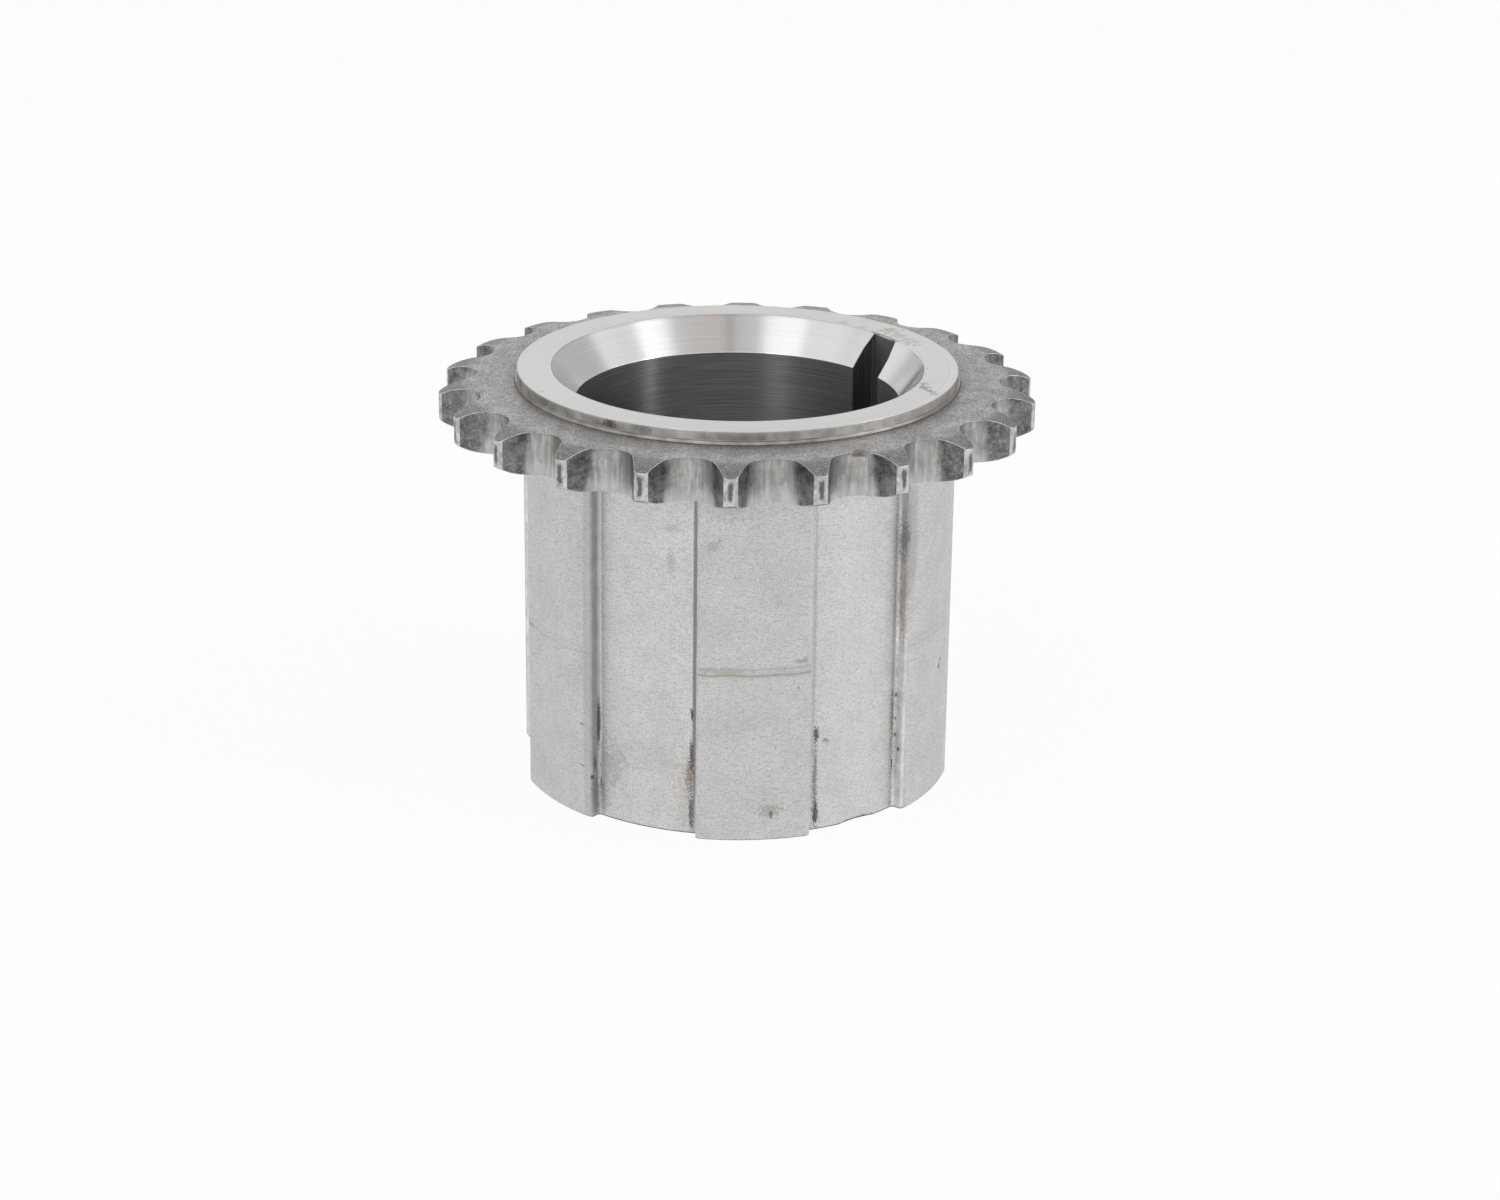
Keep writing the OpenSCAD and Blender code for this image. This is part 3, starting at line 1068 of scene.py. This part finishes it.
@dataclass
class Hub:
    """Barrel with its drive lands, bore, lead-in cone and rim."""

    sizes: GearSizes
    lands: int = 6
    land_half: float = 15.0
    corner_round: float = 0.6 * MM
    corner_steps: int = 4
    foot_round: float = 0.4 * MM
    foot_steps: int = 3
    end_chamfer: float = 0.25 * MM

    def _extrude_ring(self, rise: float, share: float = 1.0) -> None:
        """Extrude the selected ring of edges.

        Args:
            rise: How far the new ring lies above the old one.
            share: Radius of the new ring as a share of the old one's.
        """
        bpy.ops.mesh.extrude_edges_move(TRANSFORM_OT_translate={"value": (0.0, 0.0, rise)})
        if share != 1.0:
            widen(share)

    def _turned(self) -> Object:
        """Extrude the turned faces ring by ring, up the bore and over the rim to the disc.

        Returns:
            The open sleeve.
        """
        s = self.sizes
        radius, height = s.bore_radius + s.bore_chamfer, 0.0
        stations = (
            (s.bore_radius, s.bore_chamfer),
            (s.bore_radius, s.length - s.lead_depth),
            (s.lead_radius, s.length),
            (s.rim_radius, s.length),
            (s.rim_radius, s.ledge_top),
            (s.ledge_radius, s.ledge_top),
            (s.ledge_radius, s.face_z),
        )
        bpy.ops.mesh.primitive_circle_add(vertices=s.steps, radius=radius, location=ORIGIN)
        sleeve = bpy.context.object
        with editing(sleeve, Kind.EDGES, whole=True):
            for next_radius, next_height in stations:
                self._extrude_ring(next_height - height, next_radius / radius)
                radius, height = next_radius, next_height
        return sleeve

    def _turn(self, point: Vector) -> float:
        """Angle in degrees between a point and the middle of the nearest land."""
        pitch = 360.0 / self.lands
        return abs((angle_of(point) + pitch / 2) % pitch - pitch / 2)

    def _raise_lands(self, barrel: Object) -> None:
        """Raise the lands from the circle of the groove floors and round their corners and feet.

        Args:
            barrel: The circle, in edit mode on edges.
        """
        s = self.sizes
        pick(barrel, Kind.EDGES, lambda e: self._turn(middle_of(e)) < self.land_half)
        self._extrude_ring(0.0, s.land_radius / s.groove_radius)
        bpy.ops.mesh.select_mode(type="VERT")

        def under_land(vert: Vert) -> bool:
            """Whether a point of the groove circle lies under a land."""
            inside = self._turn(vert.co) < self.land_half - 0.5
            return near(radius_of(vert.co), s.groove_radius) and inside

        pick(barrel, Kind.VERTS, under_land)
        bpy.ops.mesh.delete(type="VERT")
        for radius, rounding, segments in (
            (s.land_radius, self.corner_round, self.corner_steps),
            (s.groove_radius, self.foot_round, self.foot_steps),
        ):

            def corner(vert: Vert, level: float = radius) -> bool:
                """Whether a point on this radius ends a land."""
                at_side = abs(self._turn(vert.co) - self.land_half) < 0.1
                return near(radius_of(vert.co), level) and at_side

            pick(barrel, Kind.VERTS, corner)
            bpy.ops.mesh.bevel(
                offset=rounding,
                segments=segments,
                profile=0.5,
                affect="VERTICES",
                clamp_overlap=False,
            )

    def _barrel(self) -> Object:
        """Draw the barrel's outline with its lands and extrude it down to the end.

        Returns:
            The barrel's outer wall.
        """
        s = self.sizes
        foot_radius = s.land_radius - self.end_chamfer
        bpy.ops.mesh.primitive_circle_add(
            vertices=s.steps, radius=s.groove_radius, location=(0.0, 0.0, s.disc_z)
        )
        barrel = bpy.context.object
        apply_place(barrel)
        with editing(barrel, Kind.EDGES):
            self._raise_lands(barrel)
            bpy.ops.mesh.select_mode(type="EDGE")
            take_all()
            self._extrude_ring(self.end_chamfer - s.disc_z)
            self._extrude_ring(-self.end_chamfer)
            bpy.ops.mesh.select_mode(type="VERT")
            pick(barrel, Kind.VERTS, lambda v: near(v.co.z, 0.0) and radius_of(v.co) > foot_radius)
            widen(foot_radius / s.land_radius)
        return barrel

    def build(self) -> Object:
        """Build the hub, open at both sides of the disc."""
        sleeve, hub = self._turned(), self._barrel()
        join(sleeve, hub)
        hub.name = "hub"

        def end_edge(edge: Edge) -> bool:
            """Whether an edge is open at the barrel end."""
            return edge.is_boundary and all(near(vert.co.z, 0.0) for vert in edge.verts)

        with editing(hub, Kind.EDGES):
            pick(hub, Kind.EDGES, end_edge)
            bpy.ops.mesh.fill(use_beauty=True)
        return hub


@dataclass
class ToothRing:
    """The ring of chain teeth, modelled as one tooth and copied round."""

    sizes: GearSizes
    teeth: int = TEETH
    pitch: float = 9.525 * MM
    roller: float = 6.35 * MM
    seat_radius: float = 3.3 * MM
    seat_angle: float = 119.0
    side_drop: float = 0.95 * MM
    side_radius: float = 6.4 * MM
    first_tooth: float = FIRST_TOOTH
    inner_radius: float = 28.6 * MM
    tip_round: float = 0.42 * MM
    seat_steps: int = 14
    side_steps: int = 7
    spare: float = 1.0 * MM

    @property
    def half_step(self) -> float:
        """Half the angle from tooth to tooth, in degrees."""
        return 180.0 / self.teeth

    @property
    def seat_centre(self) -> float:
        """Radius on which the roller seats are centred."""
        pitch_radius = self.pitch / 2 / math.sin(math.pi / self.teeth)
        return pitch_radius - self.roller / 2 + self.seat_radius

    def _side_profile(self) -> list[tuple[float, float]]:
        """Section of one tooth, as radius and height, from the inner lower corner round."""
        s = self.sizes
        run = math.sqrt(2 * self.side_radius * self.side_drop - self.side_drop**2)
        arc = []
        for i in range(self.side_steps + 1):
            out = run * i / self.side_steps
            drop = self.side_radius - math.sqrt(self.side_radius**2 - out**2)
            arc.append((s.tip_radius - run + out, drop))
        low = [(r, s.disc_z + drop) for r, drop in arc]
        high = [(r, s.face_z - drop) for r, drop in reversed(arc)]
        return [(self.inner_radius, s.disc_z), *low, *high, (self.inner_radius, s.face_z)]

    def _blank(self) -> Object:
        """Spin the tooth's section through one pitch.

        Returns:
            A closed block, symmetrical about the X axis.
        """
        section = self._side_profile()
        corners = [polar(radius, -self.half_step, height) for radius, height in section]
        blank = single_point()
        blank.name = "tooth"
        with editing(blank, Kind.VERTS, whole=True):
            bpy.ops.transform.translate(value=corners[0])
            for last, corner in zip(corners, corners[1:]):
                extrude_by(corner - last)
            take_all()
            bpy.ops.mesh.edge_face_add()
            bpy.ops.mesh.spin(
                steps=self.sizes.steps // self.teeth,
                angle=-math.radians(2 * self.half_step),
                center=ORIGIN,
                axis=AXIS,
            )
            weld()
            face_outwards()
        return blank

    def _gap_tool(self, middle: float) -> Object:
        """A prism with the outline of the space between two teeth.

        Args:
            middle: Angle of the gap's middle in degrees.

        Returns:
            The closed prism.
        """
        s = self.sizes
        half = math.radians(self.seat_angle / 2)
        centre = polar(self.seat_centre, middle)
        inward = math.radians(middle + 180.0)
        low, high = s.disc_z - self.spare, s.face_z + self.spare
        rise = s.tip_radius + self.spare - self.seat_centre
        flank_length = rise / math.sin(half) + self.seat_radius
        tool = single_point()
        with editing(tool, Kind.VERTS, whole=True):
            start = self._seat_point(centre, inward - half)
            bpy.ops.transform.translate(value=start + Vector((0.0, 0.0, low)))
            bpy.ops.mesh.spin(steps=self.seat_steps, angle=-2 * half, center=centre, axis=AXIS)
            for side in (-1, 1):
                turn = inward + side * half
                end = self._seat_point(centre, turn)
                pick(tool, Kind.VERTS, lambda v, end=end: (v.co.xy - end.xy).length < 1e-6)
                along = Vector((-side * math.sin(turn), side * math.cos(turn), 0.0))
                extrude_by(along * flank_length)
            weld(1e-7)
            pick(tool, Kind.VERTS, lambda v: radius_of(v.co) > s.tip_radius + self.spare / 2)
            bpy.ops.mesh.edge_face_add()
            take_all()
            bpy.ops.mesh.edge_face_add()
            take_all()
            extrude_by((0.0, 0.0, high - low))
            face_outwards()
        return tool

    def _seat_point(self, centre: Vector, turn: float) -> Vector:
        """The point of a roller seat at one angle in radians about its centre."""
        return centre + Vector((math.cos(turn), math.sin(turn), 0.0)) * self.seat_radius

    def _open_sides(self, tooth: Object) -> None:
        """Take off the faces by which the tooth joins its neighbours and the hub."""

        def joining(face: Face) -> bool:
            """Whether a face joins the tooth to a neighbour or the hub."""
            centre = face.calc_center_median()
            at_side = abs(abs(angle_of(centre)) - self.half_step) < 0.01
            upright = abs(face.normal.z) < 0.5
            return (at_side and upright) or radius_of(centre) < self.inner_radius + HAIR

        with editing(tooth, Kind.FACES):
            pick(tooth, Kind.FACES, joining)
            bpy.ops.mesh.delete(type="FACE")

    def _round_tip(self, tooth: Object) -> None:
        """Round the two upright edges of the tip, as wear leaves them."""

        def tip_edge(edge: Edge) -> bool:
            """Whether an edge is one of the tip's upright ones."""
            a, b = (vert.co for vert in edge.verts)
            at_tip = all(near(radius_of(end), self.sizes.tip_radius, 1e-5) for end in (a, b))
            return at_tip and abs(a.z - b.z) > MM and edge.calc_face_angle(0.0) > math.radians(20)

        with editing(tooth, Kind.EDGES):
            pick(tooth, Kind.EDGES, tip_edge)
            bpy.ops.mesh.bevel(
                offset=self.tip_round, segments=3, profile=0.5, affect="EDGES", clamp_overlap=False
            )

    def build(self) -> Object:
        """Build the ring of teeth, open towards the hub."""
        tooth = self._blank()
        for middle in (-self.half_step, self.half_step):
            cut(tooth, self._gap_tool(middle))
        self._open_sides(tooth)
        self._round_tip(tooth)
        copies = self.teeth - 1
        turn = 2 * math.pi / self.teeth * copies
        with editing(tooth, Kind.FACES, whole=True):
            bpy.ops.mesh.spin(steps=copies, dupli=True, angle=-turn, center=ORIGIN, axis=AXIS)
            weld(2e-6)
        tooth.data.transform(Matrix.Rotation(math.radians(self.first_tooth), 4, "Z"))
        return tooth


@dataclass(frozen=True)
class Chip:
    """A small bite out of the barrel's lower edge, in millimetres and degrees."""

    angle: float
    radius: float
    size: tuple[float, float, float]
    seed: int


@dataclass
class CrankshaftGear:
    """The whole gear as one closed, dressed mesh."""

    sizes: GearSizes
    edge_width: float = 0.08 * MM
    chip_rough: float = 0.08 * MM
    tooth_foot: float = 29.0 * MM
    worn_from: float = 31.7 * MM
    chips: tuple[Chip, ...] = (
        Chip(-195.2, 25.6, (0.5, 0.9, 0.4), 1),
        Chip(-88.5, 24.1, (0.5, 2.6, 0.6), 3),
    )

    def _close_sides(self, gear: Object) -> None:
        """Fill the flat rings between the hub and the teeth."""
        s = self.sizes
        with editing(gear, Kind.EDGES):
            for level in (s.face_z, s.disc_z):

                def open_here(edge: Edge, level: float = level) -> bool:
                    """Whether an edge is open in the ring on this level."""
                    middle = middle_of(edge)
                    in_ring = s.groove_radius - MM < radius_of(middle) < self.tooth_foot
                    return edge.is_boundary and near(middle.z, level) and in_ring

                count = pick(gear, Kind.EDGES, open_here)
                log.info("open edges at %.1f mm: %d", level / MM, count)
                bpy.ops.mesh.fill(use_beauty=True)
            weld()
            face_outwards()

    def _keyway_tool(self) -> Object:
        """A bar with the keyway's section, through the whole length."""
        s = self.sizes
        bpy.ops.mesh.primitive_cube_add(size=1.0)
        bar = bpy.context.object
        bar.dimensions = (s.key_floor, 2 * s.key_half, s.length + 4 * MM)
        bar.location = (s.key_floor / 2, 0.0, s.length / 2)
        apply_place(bar)
        return bar

    def _chip_tool(self, chip: Chip) -> Object:
        """A rough lump with a chip's form."""
        bpy.ops.mesh.primitive_ico_sphere_add(subdivisions=3, radius=1.0)
        lump = bpy.context.object
        lump.scale = tuple(length * MM for length in chip.size)
        lump.rotation_euler = (0.0, 0.0, math.radians(chip.angle))
        lump.location = polar(chip.radius * MM, chip.angle)
        apply_place(lump)
        with editing(lump, Kind.FACES, whole=True):
            rough = self.chip_rough
            bpy.ops.transform.vertex_random(offset=rough, uniform=1.0, normal=0.0, seed=chip.seed)
        return lump

    def _in_keyway(self, point: Vector, beside: float, beyond: float) -> bool:
        """Whether a point lies in the keyway, or a little beside or beyond it."""
        s = self.sizes
        return (
            point.x > 0
            and abs(point.y) < s.key_half + beside
            and radius_of(point) < s.key_floor + beyond
        )

    def _surface_of(self, face: Face) -> Surface:
        """Which of the gear's surfaces a face belongs to.

        Args:
            face: A face of the gear before its edges are rounded.

        Returns:
            The surface.
        """
        s = self.sizes
        centre, lift = face.calc_center_median(), face.normal.z
        radius, height = radius_of(centre), centre.z
        outward = face.normal.dot(Vector((centre.x, centre.y, 0.0)).normalized())
        on_wall = near(abs(centre.y), s.key_half, HAIR) or near(centre.x, s.key_floor, HAIR)
        if on_wall and abs(lift) < 0.2 and self._in_keyway(centre, HAIR, 0.5 * MM):
            return Surface.KEYWAY
        if height > s.disc_z - HAIR and radius > s.ledge_radius + HAIR:
            if abs(lift) > 0.2:
                return Surface.DISC
            if radius > s.tip_radius - 0.6 * MM and outward > 0.53:
                return Surface.TIP if outward > 0.985 else Surface.EDGE
            return Surface.GAP
        if height > s.length - HAIR and lift > 0.9:
            return Surface.RIM_FACE
        if outward < -0.3:
            return Surface.CONE if lift > 0.3 else Surface.BORE
        if height > s.face_z:
            return Surface.RIM_WALL if height > s.ledge_top + HAIR else Surface.LEDGE
        if lift < -0.9:
            return Surface.END
        if outward < 0.75 and lift > -0.3:
            return Surface.LAND_SIDE
        return Surface.LAND if radius > s.land_radius - 0.3 * MM else Surface.FLUTE

    def _edge_surface(self, face: Face) -> Surface:
        """Which finish the rounding of a sharp edge takes.

        Args:
            face: A face of the rounding.

        Returns:
            The surface.
        """
        s = self.sizes
        centre = face.calc_center_median()
        radius, height = radius_of(centre), centre.z
        if height > s.disc_z - 0.15 * MM and radius > s.ledge_radius + 0.3 * MM:
            if radius > self.worn_from:
                return Surface.EDGE
            return Surface.DISC if face.normal.z > 0.0 else Surface.GAP
        if height > s.face_z - HAIR and radius > s.rim_radius - 0.2 * MM:
            if height > s.ledge_top + 0.2 * MM:
                return Surface.RIM_FACE
            return Surface.CREVICE if height < s.face_z + 0.15 * MM else Surface.LEDGE
        if self._in_keyway(centre, 0.15 * MM, 0.6 * MM):
            return Surface.KEYWAY
        if radius < s.lead_radius + 0.2 * MM:
            return Surface.CONE if height > s.length / 2 else Surface.END
        if height < MM:
            return Surface.LAND if radius > s.groove_radius + 0.3 * MM else Surface.FLUTE
        return Surface.CREVICE

    def _assign(self, gear: Object, choose: Callable[[object], Surface], slot: int | None) -> None:
        """Give faces their surface's material slot.

        Args:
            gear: The closed mesh.
            choose: Says which surface a face belongs to.
            slot: The slot whose faces are given a new one; None takes all faces.
        """
        with editing(gear, Kind.FACES):
            bm = bmesh.from_edit_mesh(gear.data)
            for face in bm.faces:
                if slot is None or face.material_index == slot:
                    face.material_index = choose(face).value
            bmesh.update_edit_mesh(gear.data)

    def _merge_flats(self, gear: Object) -> None:
        """Join the thin triangles of each flat face, which the rounding would fold over."""
        with editing(gear, Kind.FACES, whole=True):
            bpy.ops.mesh.dissolve_limited(angle_limit=math.radians(0.3), delimit={"MATERIAL"})

    def _round_edges(self, gear: Object) -> None:
        """Round every sharp edge a little and give it the finish that it wears."""
        select_only(gear)
        bevel = gear.modifiers.new("edges", "BEVEL")
        bevel.limit_method = "ANGLE"
        bevel.angle_limit = math.radians(33)
        bevel.width = self.edge_width
        bevel.segments = 2
        bevel.use_clamp_overlap = False
        bevel.loop_slide = True
        bevel.material = len(Surface)
        gear.data.materials.append(None)
        bpy.ops.object.modifier_apply(modifier=bevel.name)
        self._assign(gear, self._edge_surface, len(Surface))
        gear.data.materials.pop(index=len(Surface))

    def _flatten_ends(self, gear: Object) -> None:
        """Press what the rounding pushed past the two end planes back onto them."""
        with editing(gear, Kind.VERTS):
            for level, side in ((0.0, -1.0), (self.sizes.length, 1.0)):
                if pick(gear, Kind.VERTS, lambda v, z=level, way=side: (v.co.z - z) * way > 1e-7):
                    plane = (0.0, 0.0, level)
                    bpy.ops.transform.resize(value=(1.0, 1.0, 0.0), center_override=plane)

    def _smooth(self, gear: Object) -> None:
        """Shade the curved faces smooth and keep the flat ones flat."""
        select_only(gear)
        bpy.ops.object.shade_smooth_by_angle(angle=math.radians(38))
        weighted = gear.modifiers.new("normals", "WEIGHTED_NORMAL")
        weighted.keep_sharp = True
        weighted.weight = 80
        bpy.ops.object.modifier_apply(modifier=weighted.name)

    def build(self, materials: list[Material]) -> Object:
        """Build and dress the gear.

        Args:
            materials: One material for each surface, in slot order.

        Returns:
            The finished piece.
        """
        hub = Hub(self.sizes).build()
        join(ToothRing(self.sizes).build(), hub)
        gear = bpy.context.object
        gear.name = "crankshaft_gear_body"
        gear.data.name = gear.name
        self._close_sides(gear)
        cut(gear, self._keyway_tool())
        gear.data.materials.clear()
        for material in materials:
            gear.data.materials.append(material)
        self._assign(gear, self._surface_of, None)
        self._merge_flats(gear)
        self._round_edges(gear)
        self._flatten_ends(gear)
        for chip in self.chips:
            cut(gear, self._chip_tool(chip))
        self._smooth(gear)
        return gear


# --------------------------------------------------------------------------
# Studio and camera
# --------------------------------------------------------------------------


@dataclass(frozen=True)
class Box:
    """A soft box or a wall panel: where it hangs about the gear and how bright its face is."""

    name: str
    azimuth: float
    elevation: float
    distance: float
    width: float
    height: float
    glow: tuple[float, float, float]

    def hang(self, obj: Object, target: Vector) -> None:
        """Hang an object at this place, facing the target."""
        a, e = math.radians(self.azimuth), math.radians(self.elevation)
        away = Vector((math.cos(a) * math.cos(e), math.sin(a) * math.cos(e), math.sin(e)))
        obj.location = target + away * self.distance
        obj.rotation_euler = (-away).to_track_quat("-Z", "Y").to_euler()


@dataclass
class Studio:
    """White sweep, soft boxes and the panels that the bright cone mirrors."""

    floor_size: float = 6.0
    floor_white: float = 0.9
    floor_seen: float = 0.94
    floor_mirrored: float = 0.85
    low_sky: float = 0.92
    high_sky: float = 0.62
    lamps: tuple[Box, ...] = (
        Box("softbox_right", -54.0, 41.0, 0.9, 0.265, 0.5, (0.65,) * 3),
        Box("softbox_left", -165.7, 46.5, 0.9, 0.33, 0.5, (0.65,) * 3),
        Box("fill_right", -38.0, 8.0, 0.9, 0.45, 0.35, (1.1,) * 3),
        Box("strip_right", -57.0, 23.0, 0.9, 0.08, 0.28, (11.0,) * 3),
        Box("strip_left", -155.0, 23.0, 0.9, 0.24, 0.28, (2.3,) * 3),
    )
    panels: tuple[Box, ...] = (
        Box("warm_panel", -101.7, 49.0, 1.0, 0.37, 0.6, (0.64, 0.59, 0.56)),
        Box("dark_gap", -118.0, 50.4, 0.95, 0.034, 0.6, (0.12,) * 3),
        Box("left_wall", 162.5, 38.5, 1.0, 0.5, 0.5, (0.95,) * 3),
        Box("grey_wall_right", 17.0, 14.0, 1.0, 0.95, 0.7, (0.54,) * 3),
        Box("grey_wall_left", 88.0, 6.0, 1.0, 0.95, 0.35, (0.58,) * 3),
    )

    def _world(self) -> None:
        """White surroundings, softer overhead, plain white to the camera."""
        world = bpy.data.worlds.new("studio")
        bpy.context.scene.world = world
        world.use_nodes = True
        board = NodeBoard(world.node_tree)
        up = board.apart(board.add("ShaderNodeTexCoord").outputs["Generated"])["Z"]
        level = board.remap(up, 0.5, 0.75, self.low_sky, self.high_sky)
        light = board.add("ShaderNodeBackground", {"Color": WHITE, "Strength": level})
        seen = board.add("ShaderNodeBackground", {"Color": WHITE, "Strength": 1.0})
        ray = board.add("ShaderNodeLightPath").outputs["Is Camera Ray"]
        both = board.either(ray, light, seen)
        board.add("ShaderNodeOutputWorld", {"Surface": both.outputs[0]})

    def _paint(self, obj: Object, name: str) -> NodeBoard:
        """Give a part of the studio an empty material.

        Args:
            obj: The floor or a panel.
            name: The material's name.

        Returns:
            The board of its nodes.
        """
        material = bpy.data.materials.new(name)
        material.use_nodes = True
        obj.data.materials.append(material)
        return NodeBoard(material.node_tree)

    def _floor(self) -> None:
        """A white floor that keeps a light shadow."""
        bpy.ops.mesh.primitive_plane_add(size=self.floor_size, location=ORIGIN)
        floor = bpy.context.object
        floor.name = "floor"
        apply_place(floor)
        board = self._paint(floor, "white_sweep")
        paper = board.add("ShaderNodeBsdfDiffuse", {"Color": (self.floor_white,) * 3 + (1.0,)})
        glow = board.add("ShaderNodeEmission", {"Color": WHITE, "Strength": 1.0})
        path = board.add("ShaderNodeLightPath").outputs
        seen = board.times(path["Is Camera Ray"], self.floor_seen)
        mirrored = board.times(path["Is Glossy Ray"], self.floor_mirrored)
        both = board.either(board.math("MAXIMUM", seen, mirrored), paper, glow)
        board.add("ShaderNodeOutputMaterial", {"Surface": both.outputs[0]})

    def _lamp(self, box: Box, target: Vector) -> None:
        """Hang one soft box, facing the target."""
        light = bpy.data.lights.new(box.name, "AREA")
        light.shape = "RECTANGLE"
        light.size, light.size_y = box.width, box.height
        light.energy = max(box.glow) * math.pi * box.width * box.height
        holder = bpy.data.objects.new(box.name, light)
        bpy.context.scene.collection.objects.link(holder)
        box.hang(holder, target)

    def _panel(self, box: Box, target: Vector) -> None:
        """Hang one wall panel, facing the target."""
        bpy.ops.mesh.primitive_plane_add(size=1.0)
        panel = bpy.context.object
        panel.name = box.name
        panel.scale = (box.width, box.height, 1.0)
        board = self._paint(panel, box.name)
        glow = board.add("ShaderNodeEmission", {"Color": box.glow + (1.0,)})
        board.add("ShaderNodeOutputMaterial", {"Surface": glow.outputs[0]})
        box.hang(panel, target)
        apply_place(panel)

    def build(self, target: Vector) -> None:
        """Set up the studio about the middle of the gear."""
        self._world()
        self._floor()
        for box in self.lamps:
            self._lamp(box, target)
            log.info("soft box %s", box.name)
        for box in self.panels:
            self._panel(box, target)
            log.info("panel %s", box.name)


@dataclass
class PhotoCamera:
    """The photograph's camera, fitted to the gear's edges."""

    lens: float = 82.897
    sensor: float = 36.0
    nearest: float = 0.01
    farthest: float = 20.0
    back: float = 383.53 * MM
    height: float = 162.94 * MM
    yaw: float = 0.004609
    tilt: float = 0.357473
    roll: float = 0.01288
    keyway_turn: float = 35.3

    def build(self) -> Object:
        """Place the camera and make it the scene's."""
        turn = Matrix.Rotation(-math.radians(self.keyway_turn), 3, "Z")
        ahead = Vector((math.sin(self.yaw), math.cos(self.yaw), 0.0))
        side = Vector((math.cos(self.yaw), -math.sin(self.yaw), 0.0))
        up = Vector(AXIS)
        forward = ahead * math.cos(self.tilt) - up * math.sin(self.tilt)
        over = up * math.cos(self.tilt) + ahead * math.sin(self.tilt)
        right = side * math.cos(self.roll) + over * math.sin(self.roll)
        top = over * math.cos(self.roll) - side * math.sin(self.roll)
        pose = Matrix([turn @ right, turn @ top, turn @ -forward]).transposed().to_4x4()
        pose.translation = turn @ Vector((0.0, -self.back, self.height))
        data = bpy.data.cameras.new("photo_camera")
        data.lens, data.sensor_width = self.lens, self.sensor
        data.clip_start, data.clip_end = self.nearest, self.farthest
        camera = bpy.data.objects.new("photo_camera", data)
        bpy.context.scene.collection.objects.link(camera)
        camera.matrix_world = pose
        bpy.context.scene.camera = camera
        return camera


def main() -> None:
    """Build the gear, its finishes, the studio and the camera."""
    logging.basicConfig(level=logging.INFO, format="%(name)s: %(message)s")
    bpy.context.scene.view_settings.view_transform = "Standard"
    low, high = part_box(NODE)
    materials = Finishes().build()
    gear = CrankshaftGear(GearSizes(length=high.z)).build(materials)
    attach(gear, "root")
    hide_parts(NODE)
    log.info("%s: %d faces", gear.name, len(gear.data.polygons))
    Studio().build((low + high) / 2)
    PhotoCamera().build()


if __name__ == "__main__":
    main()
